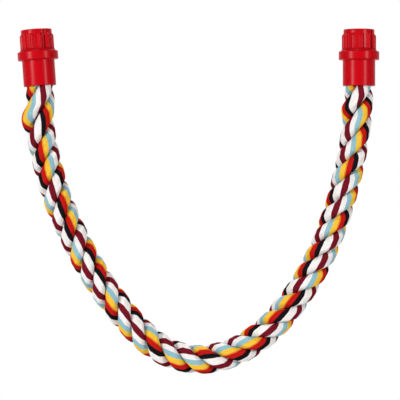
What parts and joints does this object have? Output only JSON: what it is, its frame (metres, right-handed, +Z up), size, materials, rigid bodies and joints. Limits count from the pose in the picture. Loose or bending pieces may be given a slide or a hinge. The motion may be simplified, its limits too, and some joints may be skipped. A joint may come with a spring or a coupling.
{
  "type": "rope bird swing",
  "caption": "Thick laid rope hanging in a U as a swinging perch, with plastic end sockets whose screw caps clamp it to the bars of a cage roof.",
  "frame": {"origin": "midway between the two end fittings, level with the collar rims on which the cage bars rest", "axes": "+Z up, +X from the left fitting to the right one, -Y towards the viewer of the front"},
  "size_m": [0.3003, 0.0336, 0.2867],
  "materials": {
    "red_plastic": "moulded, glossy",
    "washer_plastic": "moulded, satin",
    "rope_cotton": "twisted yarns in white, light blue, yellow, orange, red, maroon and black",
    "glue": "set hot-melt glue",
    "wire": "drawn"
  },
  "bodies": {
    "end_fittings": {"left_end_sleeve": "red_plastic", "left_glue_plug": "glue", "left_rope_tail": "rope_cotton", "left_wire_tail": "wire", "right_end_sleeve": "red_plastic", "right_glue_plug": "glue", "right_rope_tail": "rope_cotton", "right_wire_tail": "wire"},
    "hanging_rope": {"rope": "rope_cotton", "core_wire": "wire"},
    "left_washer": {"left_clamp_washer": "washer_plastic"},
    "left_cap": {"left_screw_cap": "red_plastic"},
    "right_washer": {"right_clamp_washer": "washer_plastic"},
    "right_cap": {"right_screw_cap": "red_plastic"}
  },
  "joints": [
    {"name": "rope_swing", "type": "hinge", "parent": "end_fittings", "child": "hanging_rope", "pos_m": [0, 0, -0.0347], "axis": [1, 0, 0], "range_deg": [-25, 25]},
    {"name": "left_washer_lift", "type": "slide", "parent": "end_fittings", "child": "left_washer", "axis": [-0.0698, 0, 0.9976], "range_m": [0, 0.009]},
    {"name": "left_cap_turn", "type": "hinge", "parent": "left_washer", "child": "left_cap", "pos_m": [-0.13352, 0, -0.00008], "axis": [-0.0698, 0, 0.9976], "range_deg": [0, 1080]},
    {"name": "right_washer_lift", "type": "slide", "parent": "end_fittings", "child": "right_washer", "axis": [0, 0, 1], "range_m": [0, 0.009]},
    {"name": "right_cap_turn", "type": "hinge", "parent": "right_washer", "child": "right_cap", "pos_m": [0.1332, 0, 0], "axis": [0, 0, 1], "range_deg": [0, 1080]}
  ],
  "couplings": [
    {"joint": "left_washer_lift", "follows": "left_cap_turn", "m_per_rad": 0.00047746},
    {"joint": "right_washer_lift", "follows": "right_cap_turn", "m_per_rad": 0.00047746}
  ]
}
